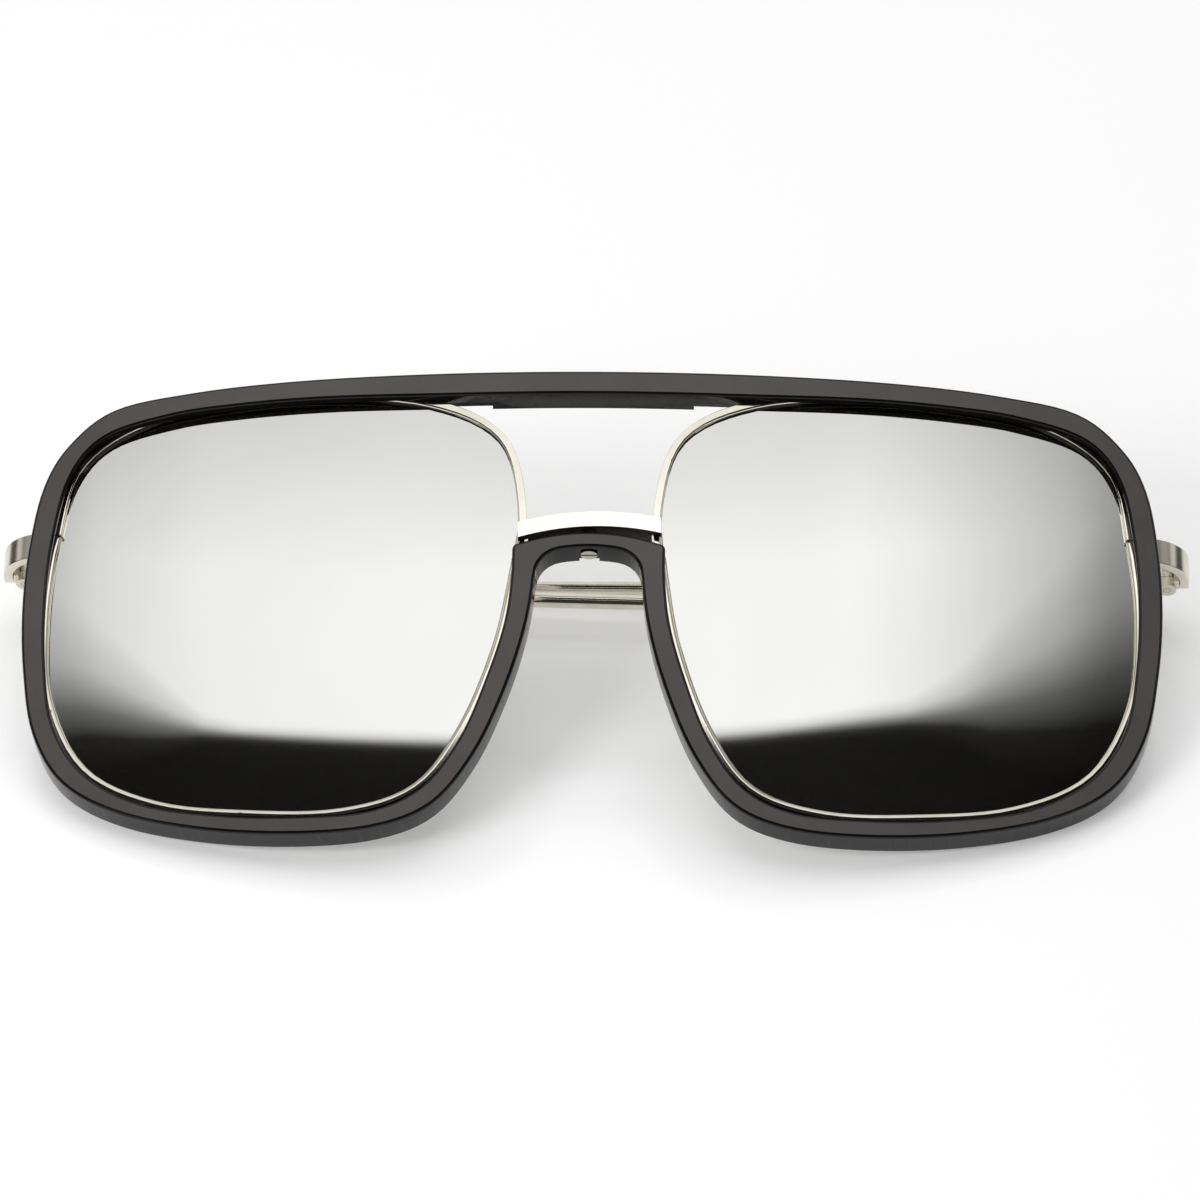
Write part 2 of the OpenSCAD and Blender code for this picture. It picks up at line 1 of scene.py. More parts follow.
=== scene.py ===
import math

import bmesh
import bpy
from mathutils import Matrix, Vector


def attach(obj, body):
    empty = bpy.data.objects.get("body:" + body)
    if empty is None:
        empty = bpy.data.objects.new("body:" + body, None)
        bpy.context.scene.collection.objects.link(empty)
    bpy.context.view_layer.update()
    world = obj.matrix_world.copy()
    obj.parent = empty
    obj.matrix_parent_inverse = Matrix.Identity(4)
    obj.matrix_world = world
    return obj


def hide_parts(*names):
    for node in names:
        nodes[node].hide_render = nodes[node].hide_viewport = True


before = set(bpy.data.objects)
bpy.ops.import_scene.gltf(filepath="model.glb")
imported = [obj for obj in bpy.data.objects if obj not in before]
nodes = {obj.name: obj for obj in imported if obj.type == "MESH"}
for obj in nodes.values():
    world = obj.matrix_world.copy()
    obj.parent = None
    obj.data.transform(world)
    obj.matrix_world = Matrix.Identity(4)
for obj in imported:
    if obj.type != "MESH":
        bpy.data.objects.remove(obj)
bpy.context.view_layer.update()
mm = 0.001
print("frame loaded:", len(nodes), "nodes")

# How the upright glasses lie in the frame, in millimetres and degrees, as the CAD model has it
lying = {"tilt": 23.9632, "back": 32.5964, "up": 7.3276, "midHeight": 33.65,
         "wrapRadius": 300.0, "rimLean": 1.1, "rimSetBack": 0.75}


def spin(degrees, axis):
    return Matrix.Rotation(math.radians(degrees), 4, axis)


def shift(x, y, z):
    return Matrix.Translation((x * mm, y * mm, z * mm))


uprightToFrame = shift(0, -lying["back"], lying["up"]) @ spin(lying["tilt"], "X")
rimsToFrame = (uprightToFrame @ shift(0, lying["midHeight"], -lying["rimSetBack"])
               @ spin(-lying["rimLean"], "X") @ shift(0, -lying["midHeight"], 0))

# The camera's place is in the upright glasses' own millimetres, so it follows how they lie
view = {"place": (25.75, -284.27, 595.79), "turn": 2.316, "stoop": 28.0, "roll": 1.381,
        "lens": 156.14, "sensor": 36, "clip": (0.02, 20)}


def addCamera():
    camera = bpy.data.objects.new("camera", bpy.data.cameras.new("camera"))
    bpy.context.scene.collection.objects.link(camera)
    camera.matrix_world = (uprightToFrame @ shift(*view["place"]) @ spin(view["turn"], "Y")
                           @ spin(view["stoop"], "X") @ spin(view["roll"], "Z"))
    camera.data.lens = view["lens"]
    camera.data.sensor_width = view["sensor"]
    camera.data.clip_start, camera.data.clip_end = view["clip"]
    bpy.context.scene.camera = camera


addCamera()


def hexColour(code):
    channels = [int(code[i:i + 2], 16) / 255 for i in (1, 3, 5)]
    return tuple(c / 12.92 if c <= 0.04045 else ((c + 0.055) / 1.055) ** 2.4
                 for c in channels) + (1.0,)


def grey(value):
    return (value, value, value, 1.0)


def addNode(tree, kind, inputs=(), stops=(), **settings):
    # inputs pairs a socket's name or number with a value or with another node's output, and
    # stops are the places and colours of a colour ramp
    node = tree.nodes.new(kind)
    for name, value in settings.items():
        setattr(node, name, value)
    for socket, value in inputs:
        if isinstance(value, bpy.types.NodeSocket):
            tree.links.new(value, node.inputs[socket])
        else:
            node.inputs[socket].default_value = value
    for i, (place, colour) in enumerate(stops):
        elements = node.color_ramp.elements
        element = elements[i] if i < 2 else elements.new(place)
        element.position, element.color = place, colour
    return node


def newMaterial(name):
    material = bpy.data.materials.new(name)
    material.use_nodes = True
    tree = material.node_tree
    tree.nodes.clear()
    return material, tree, addNode(tree, "ShaderNodeOutputMaterial")


def objectPoint(tree, scale=(1, 1, 1)):
    # Object coordinates in millimetres, stretched as asked
    place = addNode(tree, "ShaderNodeTexCoord").outputs["Object"]
    inMm = addNode(tree, "ShaderNodeVectorMath", [(0, place), (3, 1 / mm)], operation="SCALE")
    return addNode(tree, "ShaderNodeMapping",
                   [("Vector", inMm.outputs[0]), ("Scale", scale)]).outputs[0]


acetate = {"deep": "#0c0b0c", "lift": "#131213", "cloudMm": 9.0, "hazePerMm": 0.9,
           "leastRough": 0.11, "mostRough": 0.18, "ior": 1.42}


def polishedAcetate():
    # Cast cellulose acetate, tumbled and buffed: a deep black with a soft wet gloss and faint haze
    material, tree, out = newMaterial("buffed_black_acetate")
    cloud = addNode(tree, "ShaderNodeTexNoise", [("Vector", objectPoint(tree)),
                    ("Scale", 1 / acetate["cloudMm"]), ("Detail", 3.0)])
    haze = addNode(tree, "ShaderNodeTexNoise", [("Vector", objectPoint(tree)),
                   ("Scale", acetate["hazePerMm"]), ("Detail", 4.0)])
    colour = addNode(tree, "ShaderNodeValToRGB", [("Fac", cloud.outputs["Fac"])],
                     stops=[(0.35, hexColour(acetate["deep"])), (0.65, hexColour(acetate["lift"]))])
    rough = addNode(tree, "ShaderNodeMapRange", [("Value", haze.outputs["Fac"]), ("From Min", 0.3),
                    ("From Max", 0.7), ("To Min", acetate["leastRough"]),
                    ("To Max", acetate["mostRough"])])
    shader = addNode(tree, "ShaderNodeBsdfPrincipled", [("Base Color", colour.outputs["Color"]),
                     ("Roughness", rough.outputs[0]), ("IOR", acetate["ior"])])
    tree.links.new(shader.outputs[0], out.inputs[0])
    return material


sanded = {"deep": "#474442", "lift": "#4d4a47", "cloudMm": 9.0, "grainMm": 0.28, "grainShare": 0.35,
          "grainDepth": 0.00004, "grainStrength": 0.06, "roughness": 0.34, "ior": 1.48}


def sandedAcetate():
    # The same acetate where the flat face was sanded and only lightly buffed: an even, satin
    # charcoal with a very fine grain, drawn a little coarser than real so that it shows
    material, tree, out = newMaterial("sanded_black_acetate")
    cloud = addNode(tree, "ShaderNodeTexNoise", [("Vector", objectPoint(tree)),
                    ("Scale", 1 / sanded["cloudMm"]), ("Detail", 3.0)])
    grain = addNode(tree, "ShaderNodeTexNoise", [("Vector", objectPoint(tree, (1, 1.6, 1))),
                    ("Scale", 1 / sanded["grainMm"]), ("Detail", 2.0)])
    both = addNode(tree, "ShaderNodeMix", [("Factor", sanded["grainShare"]),
                   (2, cloud.outputs["Fac"]), (3, grain.outputs["Fac"])])
    colour = addNode(tree, "ShaderNodeValToRGB", [("Fac", both.outputs[0])],
                     stops=[(0.38, hexColour(sanded["deep"])), (0.62, hexColour(sanded["lift"]))])
    bump = addNode(tree, "ShaderNodeBump", [("Height", grain.outputs["Fac"]),
                   ("Strength", sanded["grainStrength"]), ("Distance", sanded["grainDepth"])])
    shader = addNode(tree, "ShaderNodeBsdfPrincipled", [("Base Color", colour.outputs["Color"]),
                     ("Roughness", sanded["roughness"]), ("IOR", sanded["ior"]),
                     ("Normal", bump.outputs[0])])
    tree.links.new(shader.outputs[0], out.inputs[0])
    return material


# Each metal's material name, its light and shaded tones, its roughness, the axis its drawn or
# brushed lines follow, how much these show, and how hammered solder and heat have left it
metals = {
    "rim": ("champagne_plated_rim_wire", "#fbf7ea", "#f3eddd", 0.06, "X", 0.01, 0.0),
    "bridge": ("champagne_plated_bridge", "#fffcf2", "#fbf6e8", 0.06, "X", 0.01, 0.0),
    # The braze's dark tones are partly its own dull finish and partly painted shade, for they go on
    # the bridge bar's downward faces
    "brazed": ("bare_brazed_metal", "#3f3b31", "#2f2c25", 0.38, "X", 0.05, 0.2),
    "bar": ("champagne_plated_temple_wire", "#efeadb", "#e2dcc9", 0.09, "X", 0.01, 0.0),
    "strap": ("brushed_champagne_strap", "#e9e4d5", "#ddd7c6", 0.25, "X", 0.015, 0.0),
    "hinge": ("brazed_hinge_metal", "#e4dfd2", "#cfc9b9", 0.16, "Y", 0.04, 0.5),
    "screw": ("turned_steel_screw", "#dcd9d0", "#c3bfb4", 0.16, "Z", 0.04, 0.0),
}
metalMarks = {"lineMm": 0.1, "lineLengthMm": 9.0, "tarnishMm": 4.0, "dentsPerMm": 2.2,
              "dentDepth": 0.0004}


def metalFinish(name, light, shade, roughness, along, lay, braze):
    # Nickel silver with a champagne flash plating gives warm, nearly white highlights, stretched
    # by fine drawn or brushed lines. Bare braze is dull and dented, and its dark tone also paints
    # the shade under the bridge bar, whose downward faces wear it. Steel is a little greyer
    material, tree, out = newMaterial(name)
    scale = [1 / metalMarks["lineMm"]] * 3
    scale["XYZ".index(along)] = 1 / metalMarks["lineLengthMm"]
    lines = addNode(tree, "ShaderNodeTexNoise", [("Vector", objectPoint(tree, tuple(scale))),
                    ("Scale", 1.0), ("Detail", 2.0)])
    tarnish = addNode(tree, "ShaderNodeTexNoise", [("Vector", objectPoint(tree)),
                      ("Scale", 1 / metalMarks["tarnishMm"]), ("Detail", 3.0)])
    colour = addNode(tree, "ShaderNodeValToRGB", [("Fac", tarnish.outputs["Fac"])],
                     stops=[(0.35, hexColour(shade)), (0.6, hexColour(light))])
    rough = addNode(tree, "ShaderNodeMapRange", [("Value", lines.outputs["Fac"]), ("From Min", 0.3),
                    ("From Max", 0.7), ("To Min", roughness - lay), ("To Max", roughness + lay)])
    shader = addNode(tree, "ShaderNodeBsdfPrincipled", [("Base Color", colour.outputs["Color"]),
                     ("Metallic", 1.0), ("Roughness", rough.outputs[0])])
    if braze:
        dents = addNode(tree, "ShaderNodeTexNoise", [("Vector", objectPoint(tree)),
                        ("Scale", metalMarks["dentsPerMm"]), ("Detail", 3.0)])
        bump = addNode(tree, "ShaderNodeBump", [("Height", dents.outputs["Fac"]),
                       ("Strength", braze), ("Distance", metalMarks["dentDepth"])])
        tree.links.new(bump.outputs[0], shader.inputs["Normal"])
    tree.links.new(shader.outputs[0], out.inputs[0])
    return material


mirror = {"coat": "#efefec", "coatShade": "#ebebe8", "seenThrough": "#b9b08c", "filmMm": 20.0,
          "roughness": 0.02, "seeThrough": 0.08}


def mirrorLens():
    # Olive-brown polycarbonate with a vacuum-deposited silver flash: a clean neutral mirror that
    # lets a little of what is behind it through
    material, tree, out = newMaterial("silver_flash_polycarbonate")
    film = addNode(tree, "ShaderNodeTexNoise", [("Vector", objectPoint(tree)),
                   ("Scale", 1 / mirror["filmMm"]), ("Detail", 2.0)])
    colour = addNode(tree, "ShaderNodeValToRGB", [("Fac", film.outputs["Fac"])],
                     stops=[(0.3, hexColour(mirror["coatShade"])),
                            (0.7, hexColour(mirror["coat"]))])
    coat = addNode(tree, "ShaderNodeBsdfPrincipled", [("Base Color", colour.outputs["Color"]),
                   ("Metallic", 1.0), ("Roughness", mirror["roughness"])])
    clear = addNode(tree, "ShaderNodeBsdfTransparent",
                    [("Color", hexColour(mirror["seenThrough"]))])
    mix = addNode(tree, "ShaderNodeMixShader", [("Fac", mirror["seeThrough"]),
                  (1, coat.outputs[0]), (2, clear.outputs[0])])
    tree.links.new(mix.outputs[0], out.inputs[0])
    return material


materials = {"face": sandedAcetate(), "side": polishedAcetate()}
for name, finish in metals.items():
    materials[name] = metalFinish(*finish)
materials["lens"] = mirrorLens()
print("materials made")

# Limits for cleaning and shaping the copies, in millimetres and degrees
cleaning = {"merge": 0.002, "sliver": 0.0005, "onPlane": 0.0001, "joinAngle": 1.5, "flatAngle": 0.2,
            "sharpAngle": 30, "cornerAngle": 40}


def mergedCopy(nodeName):
    # A CAD node's mesh is loose triangles, so its doubles are merged before it is shaped
    bm = bmesh.new()
    bm.from_mesh(nodes[nodeName].data)
    bmesh.ops.remove_doubles(bm, verts=bm.verts, dist=cleaning["merge"] * mm)
    bmesh.ops.dissolve_degenerate(bm, edges=bm.edges, dist=cleaning["sliver"] * mm)
    return bm


def smoothMesh(bm, name):
    mesh = bpy.data.meshes.new(name)
    bm.to_mesh(mesh)
    bm.free()
    if "custom_normal" in mesh.attributes:
        mesh.attributes.remove(mesh.attributes["custom_normal"])
    mesh.shade_smooth()
    return mesh


def place(name, mesh, nodeNames, body, slot, finish):
    piece = bpy.data.objects.new(name, mesh)
    bpy.context.scene.collection.objects.link(piece)
    for material in finish:
        mesh.materials.append(material)
    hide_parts(*nodeNames)
    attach(piece, body)
    return piece


# The front, rims and lenses are wrapped round an upright axis behind them. Their copies are cut
# in upright strips that keep the wrapped faces round, so that reflections in them run true
wrap = {"strip": 2.6, "firstCut": 0.13, "cuts": 30, "sameReach": 0.012, "level": 0.02,
        "facesAxis": 0.99, "nearlyLevel": 0.985}


def axisLine(toFrame):
    return (toFrame @ Vector((0, 0, -lying["wrapRadius"] * mm)),
            toFrame.to_3x3() @ Vector((0, 1, 0)))


def outward(co, line):
    away = co - line[0]
    return away - line[1] * away.dot(line[1])


def faceReach(face, line):
    # Distance of a wrapped face's corners from the axis, if they all agree
    reach = [outward(v.co, line).length for v in face.verts]
    straight = abs(outward(face.calc_center_median(), line).normalized().dot(face.normal))
    if max(reach) - min(reach) < wrap["sameReach"] * mm and straight > wrap["facesAxis"]:
        return sum(reach) / len(reach)
    return None


def onFrontFace(face, line):
    reach = faceReach(face, line)
    return bool(reach) and abs(reach - lying["wrapRadius"] * mm) < wrap["level"] * mm


blackFront = {"edge": 0.4, "edgeSegments": 5}
rimWires = {"innerLow": 0.68, "innerLowSegments": 6, "innerHigh": 0.3, "innerHighSegments": 4,
            "outer": 0.08, "outerSegments": 2, "sawCutHeight": 47.4, "sawCutReach": 0.3,
            "sawCutSide": 60, "noseDrop": 2.5, "noseSide": 40.0}
everyHeight = (-1.0, 80.0)
belowSawCut = (everyHeight[0], rimWires["sawCutHeight"])
aboveSawCut = (rimWires["sawCutHeight"], everyHeight[1])


def bevelFrontEdges(bm, toFrame, line, bevels):
    # bevels lists (width, segments, side, heights), where side +1 is the outer edge, -1 the inner
    # edge and 0 both, and the heights are the lowest and highest point on the upright glasses
    middle = sum((v.co for v in bm.verts), Vector()) / len(bm.verts)
    upright = toFrame.inverted()

    def heightAlong(edge):
        # Counted from lower down on the nose side, where the bridge hides a change of the edge
        spot = upright @ ((edge.verts[0].co + edge.verts[1].co) / 2) / mm
        return spot.y + (rimWires["noseDrop"] if abs(spot.x) < rimWires["noseSide"] else 0)

    def atSawCut(edge):
        ends = [upright @ v.co / mm for v in edge.verts]
        return all(abs(e.y - rimWires["sawCutHeight"]) < rimWires["sawCutReach"]
                   and abs(e.x) > rimWires["sawCutSide"] for e in ends)

    for width, segments, side, (low, high) in bevels:
        level = {f for f in bm.faces if onFrontFace(f, line)}
        edges = [e for e in bm.edges if len(e.link_faces) == 2
                 and len([f for f in e.link_faces if f in level]) == 1
                 and low < heightAlong(e) < high]
        if side:
            walls = {e: next(f for f in e.link_faces if f not in level) for e in edges}
            edges = [e for e in edges if not atSawCut(e)
                     and side * (e.verts[0].co - middle).dot(walls[e].normal) > 0]
        bmesh.ops.bevel(bm, geom=edges, offset=width * mm, offset_type="OFFSET",
                        segments=segments, profile=0.5, affect="EDGES", clamp_overlap=False,
                        material=-1)
        bm.normal_update()


def cutInStrips(bm, toFrame, line, reached):
    # reached holds each wrapped face's distance from the axis, and its corners move out to it
    across = toFrame.to_3x3() @ Vector((1, 0, 0))
    for cut in range(-wrap["cuts"], wrap["cuts"] + 1):
        spot = line[0] + across * (cut * wrap["strip"] + wrap["firstCut"]) * mm
        bmesh.ops.bisect_plane(bm, geom=bm.verts[:] + bm.edges[:] + bm.faces[:],
                               dist=cleaning["onPlane"] * mm, plane_co=spot, plane_no=across)
    for face in bm.faces:
        if face[reached]:
            for v in face.verts:
                away = outward(v.co, line)
                v.co += away.normalized() * (face[reached] - away.length)
    bm.normal_update()


def wrapNormals(mesh, roundFaces, line):
    # Normals point away from the axis on the wrapped faces and where an edge starts to turn
    mesh.set_sharp_from_angle(angle=math.radians(cleaning["sharpAngle"]))
    normals = [Vector(n.vector) for n in mesh.corner_normals]
    for polygon in mesh.polygons:
        for i in polygon.loop_indices:
            exact = outward(mesh.vertices[mesh.loops[i].vertex_index].co, line).normalized()
            if polygon.index in roundFaces:
                normals[i] = exact if exact.dot(polygon.normal) > 0 else -exact
            elif abs(exact.dot(normals[i])) > wrap["nearlyLevel"]:
                normals[i] = exact if exact.dot(normals[i]) > 0 else -exact
    mesh.normals_split_custom_set(normals)


def wrapped(name, nodeName, body, slot, finish, toFrame, bevels):
    # A smooth copy of a wrapped CAD node. finish is one material, or one for the face and one
    # for the rest
    line = axisLine(toFrame)
    bm = mergedCopy(nodeName)
    bmesh.ops.join_triangles(bm, faces=bm.faces,
                             angle_face_threshold=math.radians(cleaning["joinAngle"]),
                             angle_shape_threshold=math.radians(180))
    bm.normal_update()
    bevelFrontEdges(bm, toFrame, line, bevels)
    if len(finish) > 1:
        for face in bm.faces:
            face.material_index = 0 if onFrontFace(face, line) else 1
    reached = bm.faces.layers.float.new("reached")
    for face in bm.faces:
        face[reached] = faceReach(face, line) or 0.0
    cutInStrips(bm, toFrame, line, reached)
    bm.faces.index_update()
    roundFaces = {f.index for f in bm.faces if f[reached]}
    mesh = smoothMesh(bm, name)
    wrapNormals(mesh, roundFaces, line)
    return place(name, mesh, [nodeName], body, slot, finish)


straps = {"edge": 0.18}
bridgeBar = {"edge": 0.1, "facesDown": 0.6}
edgeSegments = 3


def flattened(mesh):
    # Normals that leave large flat faces flat, so that only the rounded edges bend the light
    around = {v.index: [] for v in mesh.vertices}
    for polygon in mesh.polygons:
        for v in polygon.vertices:
            around[v].append(polygon)
    smallest = math.cos(math.radians(cleaning["cornerAngle"]))
    normals = []
    for polygon in mesh.polygons:
        for v in polygon.vertices:
            near = [p for p in around[v] if p.normal.dot(polygon.normal) > smallest]
            normals.append(sum((p.normal * p.area for p in near), Vector()).normalized())
    mesh.normals_split_custom_set(normals)


def softened(name, nodeName, body, slot, finish, radius):
    # A copy of a CAD node whose sharp edges are rounded, as filing and tumbling leave them.
    # finish may name a second material for the faces that look down when the glasses are worn,
    # which is darker and paints the shade that falls under the piece
    bm = mergedCopy(nodeName)
    bmesh.ops.dissolve_limit(bm, angle_limit=math.radians(cleaning["flatAngle"]), verts=bm.verts,
                             edges=bm.edges)
    bm.normal_update()
    edges = [e for e in bm.edges if len(e.link_faces) == 2
             and e.calc_face_angle(0) > math.radians(cleaning["cornerAngle"])]
    bmesh.ops.bevel(bm, geom=edges, offset=radius * mm, offset_type="OFFSET",
                    segments=edgeSegments, profile=0.5, affect="EDGES", clamp_overlap=True,
                    material=-1)
    bmesh.ops.triangulate(bm, faces=[f for f in bm.faces if len(f.verts) > 4])
    bm.normal_update()
    # Faces that look down take the darker second material, so that it paints the shade under the
    # piece
    down = uprightToFrame.to_3x3() @ Vector((0, -1, 0))
    for face in bm.faces:
        looksDown = face.normal.dot(down) > bridgeBar["facesDown"]
        face.material_index = 1 if len(finish) > 1 and looksDown else 0
    mesh = smoothMesh(bm, name)
    flattened(mesh)
    return place(name, mesh, [nodeName], body, slot, finish)


wrapped("black_front", "front_frame", "front", "black_front",
        (materials["face"], materials["side"]), uprightToFrame,
        [(blackFront["edge"], blackFront["edgeSegments"], 0, everyHeight)])
rimBevels = [(rimWires["innerLow"], rimWires["innerLowSegments"], -1, belowSawCut),
             (rimWires["innerHigh"], rimWires["innerHighSegments"], -1, aboveSawCut),
             (rimWires["outer"], rimWires["outerSegments"], 1, everyHeight)]
for side in ("left", "right"):
    wrapped(side + "_rim_wire", side + "_rim", "front", "pale_metal", (materials["rim"],),
            rimsToFrame, rimBevels)
    wrapped(side + "_mirror_lens", side + "_lens", "front", "mirrored_lens",
            (materials["lens"],), rimsToFrame, [])
    softened(side + "_strap", side + "_end_piece", "front", "pale_metal", (materials["strap"],),
             straps["edge"])
softened("bridge_bar", "bridge", "front", "pale_metal", (materials["bridge"], materials["brazed"]),
         bridgeBar["edge"])
print("front, rims, lenses, bridge and straps made")

# The other CAD nodes keep their own shape
finishes = {"bridge_post": "hinge", "bridge_screw": "screw", "upper_block": "hinge",
            "lower_block": "hinge", "closing_screw": "screw", "front_hinge": "hinge",
            "hinge_screw": "screw", "temple_hinge": "hinge", "temple": "bar", "temple_tip": "side"}
for name, node in nodes.items():
    kind = name.replace("left_", "").replace("right_", "")
    if kind in finishes:
        node.data.materials.clear()
        node.data.materials.append(materials[finishes[kind]])
print("small fittings and temples finished")


def stagePlane(name, corners, height, material):
    bm = bmesh.new()
    (x0, y0), (x1, y1) = corners
    bmesh.ops.create_grid(bm, x_segments=1, y_segments=1, size=0.5)
    bmesh.ops.scale(bm, vec=((x1 - x0) * mm, (y1 - y0) * mm, 1), verts=bm.verts)
    bmesh.ops.translate(bm, vec=((x0 + x1) / 2 * mm, (y0 + y1) / 2 * mm, height * mm),
                        verts=bm.verts)
    mesh = bpy.data.meshes.new(name)
    bm.to_mesh(mesh)
    bm.free()
    plane = bpy.data.objects.new(name, mesh)
    bpy.context.scene.collection.objects.link(plane)
    mesh.materials.append(material)
    return plane


def onlyReflected(plane):
    plane.visible_camera = plane.visible_diffuse = False
    plane.visible_shadow = plane.visible_transmission = False


floor = {"colour": "#f1f1f1", "glow": 0.18, "roughness": 0.12, "ior": 1.45, "reach": 3000,
         "height": -0.05}


def floorMaterial():
    # White acrylic sheet: diffuse white with a weak gloss that mirrors what stands on it
    material, tree, out = newMaterial("white_acrylic_floor")
    shader = addNode(tree, "ShaderNodeBsdfPrincipled", [("Base Color", hexColour(floor["colour"])),
                     ("Roughness", floor["roughness"]), ("IOR", floor["ior"])])
    path = addNode(tree, "ShaderNodeLightPath")
    seen = addNode(tree, "ShaderNodeMath", [(0, path.outputs["Is Camera Ray"]),
                   (1, path.outputs["Is Glossy Ray"])], operation="MAXIMUM")
    seen = addNode(tree, "ShaderNodeMath", [(0, seen.outputs[0]),
                   (1, path.outputs["Is Transmission Ray"])], operation="MAXIMUM")
    glow = addNode(tree, "ShaderNodeMath", [(0, seen.outputs[0]), (1, floor["glow"])],
                   operation="MULTIPLY")
    light = addNode(tree, "ShaderNodeEmission", [("Strength", glow.outputs[0])])
    total = addNode(tree, "ShaderNodeAddShader", [(0, shader.outputs[0]), (1, light.outputs[0])])
    tree.links.new(total.outputs[0], out.inputs[0])
    return material


# The tent's ceiling: how bright it is across its width, where its front edge runs, and how far out
# of focus that edge is, each as pairs of a place in X and a value. All sizes are in millimetres
ceiling = {"height": 450.0, "strength": 1.25, "corners": ((-900, -300), (900, 1500)),
           "across": [(-900, 0.04), (-780, 0.1), (-680, 0.5), (-430, 0.5), (-360, 0.5),
                      (-310, 0.76), (-230, 0.93), (-120, 1.0), (130, 1.0), (170, 0.89),
                      (215, 0.72), (255, 0.55), (285, 0.36), (330, 0.28), (400, 0.35),
                      (460, 0.5), (680, 0.5), (780, 0.08), (900, 0.04)],
           "edge": [(-350, 74), (-280, 48.8), (-210, 33.1), (-140, 22.1), (-70, 15.6), (0, 14.1),
                    (70, 17.7), (140, 27.7), (210, 40.5), (280, 61), (350, 90)],
           "softness": [(-340, 2.3), (-278, 1.15), (-255, 0.65), (-240, 0.35), (-215, 0.22),
                        (100, 0.25), (165, 0.4), (195, 0.9), (215, 1.6), (300, 3.5)]}


def alongX(tree, x, points, full, interpolation="LINEAR"):
    # Reads a list of (X, value) pairs at x. full is a round number above every value
    first, last = points[0][0], points[-1][0]
    factor = addNode(tree, "ShaderNodeMapRange", [("Value", x), ("From Min", float(first)),
                     ("From Max", float(last)), ("To Min", 0.0), ("To Max", 1.0)])
    values = addNode(tree, "ShaderNodeValToRGB", [("Fac", factor.outputs[0])],
                     stops=[((px - first) / (last - first), grey(v / full)) for px, v in points])
    values.color_ramp.interpolation = interpolation
    return addNode(tree, "ShaderNodeMath", [(0, values.outputs["Color"]), (1, full)],
                   operation="MULTIPLY").outputs[0]


def tentMaterial():
    # The lit cloth ceiling of a light tent. Its front edge sags in a shallow bow, and the tent is
    # open, and dark, between that edge and the camera
    material, tree, out = newMaterial("light_tent_ceiling")
    parts = addNode(tree, "ShaderNodeSeparateXYZ", [(0, objectPoint(tree))])
    edge = alongX(tree, parts.outputs[0], ceiling["edge"], 100.0, "B_SPLINE")
    soft = alongX(tree, parts.outputs[0], ceiling["softness"], 10.0)
    sides = alongX(tree, parts.outputs[0], ceiling["across"], 2.0)
    past = addNode(tree, "ShaderNodeMath", [(0, parts.outputs[1]), (1, edge)],
                   operation="SUBTRACT")
    blurred = addNode(tree, "ShaderNodeMath", [(0, past.outputs[0]), (1, soft)],
                      operation="DIVIDE")
    near = addNode(tree, "ShaderNodeMapRange", [("Value", blurred.outputs[0]), ("From Min", -8.0),
                   ("From Max", 12.0), ("To Min", 0.0), ("To Max", 1.0)])
    rise = addNode(tree, "ShaderNodeValToRGB", [("Fac", near.outputs[0])],
                   stops=[(0.0, grey(0.008)), (0.225, grey(0.02)), (0.4, grey(0.2)),
                          (0.65, grey(0.72)), (1.0, grey(1.0))])
    far = addNode(tree, "ShaderNodeMapRange", [("Value", past.outputs[0]), ("From Min", -8.0),
                  ("From Max", 92.0), ("To Min", 0.0), ("To Max", 1.0)])
    fade = addNode(tree, "ShaderNodeValToRGB", [("Fac", far.outputs[0])],
                   stops=[(0.0, grey(0.93)), (0.45, grey(0.93)), (0.55, grey(0.86)),
                          (0.7, grey(0.745)), (1.0, grey(0.595))])
    level = addNode(tree, "ShaderNodeMix", [("Factor", 1.0), (6, rise.outputs["Color"]),
                    (7, fade.outputs["Color"])], data_type="RGBA", blend_type="MULTIPLY")
    strength = addNode(tree, "ShaderNodeMath", [(0, sides), (1, ceiling["strength"])],
                       operation="MULTIPLY")
    light = addNode(tree, "ShaderNodeEmission", [("Color", level.outputs[2]),
                                                 ("Strength", strength.outputs[0])])
    tree.links.new(light.outputs[0], out.inputs[0])
    return material


# Light from all round, and what reflections see of the room. Directions are parts of a unit vector
room = {"diffuseLight": 0.43, "wall": 0.5, "wallFrom": (0.5, 0.75), "wallAbove": (0.14, 0.24),
        "sweep": 0.85, "sweepFrom": (0.1, 0.5),
        "byHeight": [(0.0, 0.6), (0.04, 0.4), (0.1, 0.04), (1.0, 0.03)]}


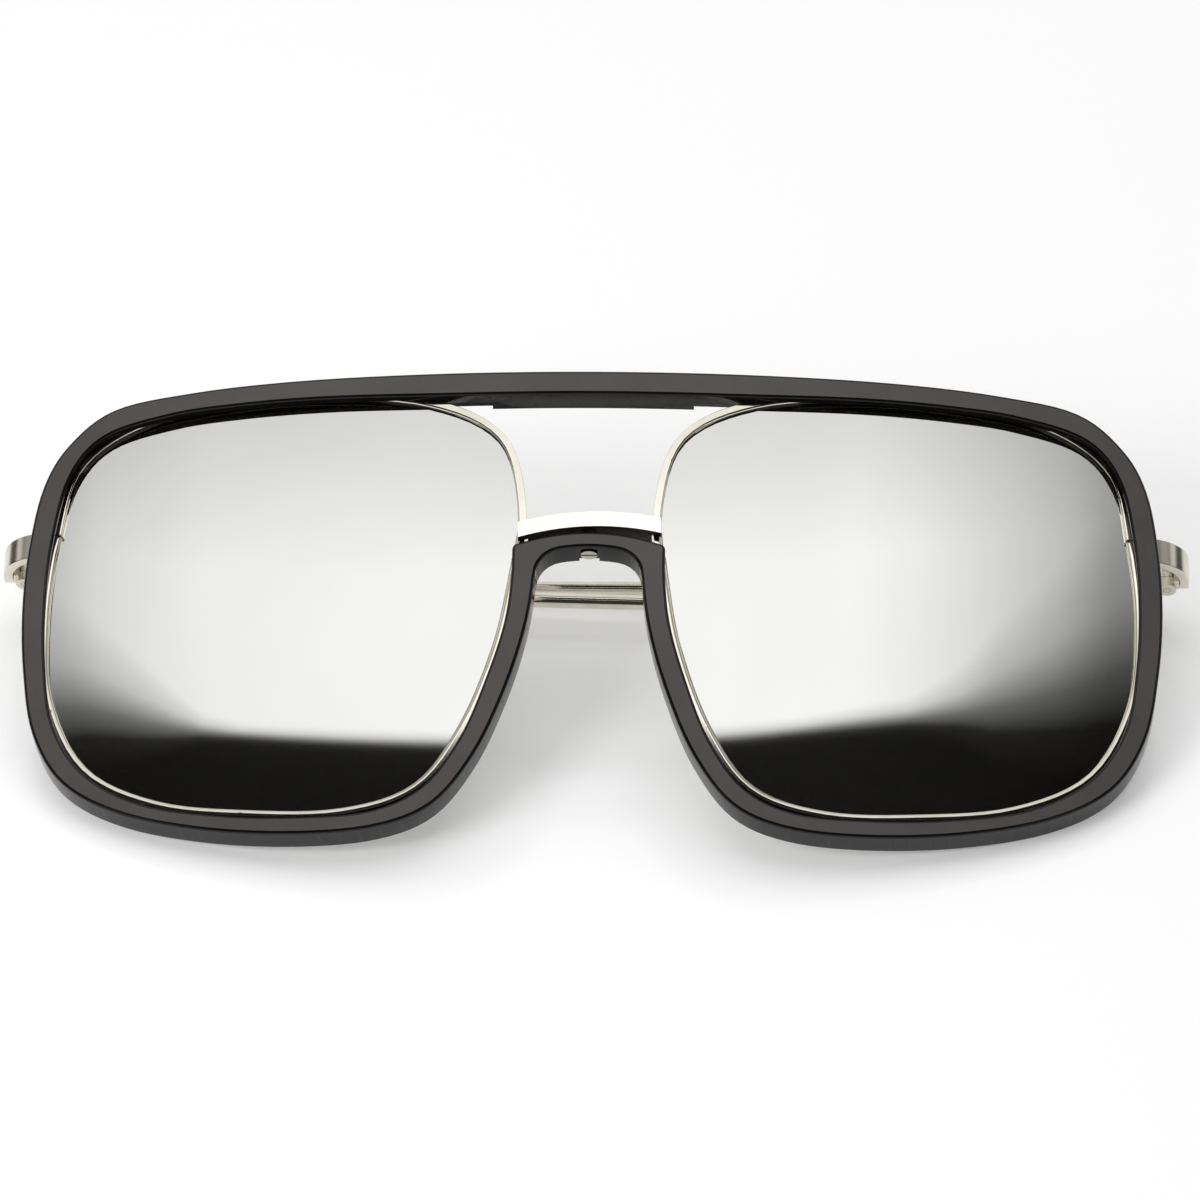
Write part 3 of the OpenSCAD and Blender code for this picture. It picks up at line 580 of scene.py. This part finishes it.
def buildWorld():
    # White all round for the camera. Reflections see a white sweep behind the glasses, lit tent
    # walls at both sides, and a dark room on the camera's side
    world = bpy.data.worlds.new("studio")
    bpy.context.scene.world = world
    world.use_nodes = True
    tree = world.node_tree
    tree.nodes.clear()
    out = addNode(tree, "ShaderNodeOutputWorld")
    path = addNode(tree, "ShaderNodeLightPath")
    direction = addNode(tree, "ShaderNodeTexCoord").outputs["Generated"]
    parts = addNode(tree, "ShaderNodeSeparateXYZ", [(0, direction)])
    aside = addNode(tree, "ShaderNodeMath", [(0, parts.outputs[0])], operation="ABSOLUTE")
    wide, high, behind = [
        addNode(tree, "ShaderNodeMapRange", [("Value", part), ("From Min", start),
                ("From Max", end), ("To Min", 0.0), ("To Max", 1.0)],
                interpolation_type="SMOOTHSTEP").outputs[0]
        for part, (start, end) in ((aside.outputs[0], room["wallFrom"]),
                                   (parts.outputs[2], room["wallAbove"]),
                                   (parts.outputs[1], room["sweepFrom"]))]
    dark = addNode(tree, "ShaderNodeValToRGB", [("Fac", parts.outputs[2])],
                   stops=[(height, grey(value)) for height, value in room["byHeight"]])
    wall = addNode(tree, "ShaderNodeMath", [(0, wide), (1, high)], operation="MULTIPLY")
    walled = addNode(tree, "ShaderNodeMix", [("Factor", wall.outputs[0]),
                     (6, dark.outputs["Color"]), (7, grey(room["wall"]))], data_type="RGBA")
    swept = addNode(tree, "ShaderNodeMix", [("Factor", behind), (6, walled.outputs[2]),
                    (7, grey(room["sweep"]))], data_type="RGBA")
    lit = addNode(tree, "ShaderNodeMix", [("Factor", path.outputs["Is Glossy Ray"]),
                  (6, grey(room["diffuseLight"])), (7, swept.outputs[2])], data_type="RGBA")
    seen = addNode(tree, "ShaderNodeMath", [(0, path.outputs["Is Camera Ray"]),
                   (1, path.outputs["Is Transmission Ray"])], operation="MAXIMUM")
    white = addNode(tree, "ShaderNodeMix", [("Factor", seen.outputs[0]), (6, lit.outputs[2]),
                    (7, grey(1.0))], data_type="RGBA")
    back = addNode(tree, "ShaderNodeBackground", [("Color", white.outputs[2]), ("Strength", 1.0)])
    tree.links.new(back.outputs[0], out.inputs[0])


# Each lamp's watts, place, aim and size
lamps = {"overhead": (3.4, (0, 250, 800), (0, 0, 0), (1050, 900)),
         "fill": (1.8, (-420, -380, 420), (0, 0, 10), (300, 300))}


def addLamp(name, watts, place, aim, size):
    data = bpy.data.lights.new(name, "AREA")
    data.energy, data.shape = watts, "RECTANGLE"
    data.size, data.size_y = size[0] * mm, size[1] * mm
    lamp = bpy.data.objects.new(name, data)
    bpy.context.scene.collection.objects.link(lamp)
    spot = Vector(place) * mm
    lamp.location = spot
    lamp.rotation_mode = "QUATERNION"
    lamp.rotation_quaternion = (Vector(aim) * mm - spot).to_track_quat("-Z", "Y")
    lamp.visible_glossy = False
    return lamp


flags = {"aside": 140.0, "height": 28.0, "halfLength": 70, "grey": 0.01}


def addFlag(name, x):
    # A low black card that stands on the floor beside the glasses; only reflections show it
    material, tree, out = newMaterial("black_flag")
    card = addNode(tree, "ShaderNodeBsdfDiffuse", [("Color", grey(flags["grey"]))])
    tree.links.new(card.outputs[0], out.inputs[0])
    half = flags["height"] / 2
    flag = stagePlane(name, ((-half, -flags["halfLength"]), (half, flags["halfLength"])), 0,
                      material)
    flag.matrix_world = shift(x, 0, half) @ spin(90, "Y")
    onlyReflected(flag)


stagePlane("floor", ((-floor["reach"], -floor["reach"]), (floor["reach"], floor["reach"])),
           floor["height"], floorMaterial())
onlyReflected(stagePlane("tent_ceiling", ceiling["corners"], ceiling["height"], tentMaterial()))
buildWorld()
for side, x in (("left", -flags["aside"]), ("right", flags["aside"])):
    addFlag(side + "_flag", x)
for name, lamp in lamps.items():
    addLamp(name, *lamp)
bpy.context.scene.view_settings.view_transform = "Standard"
print("studio built")
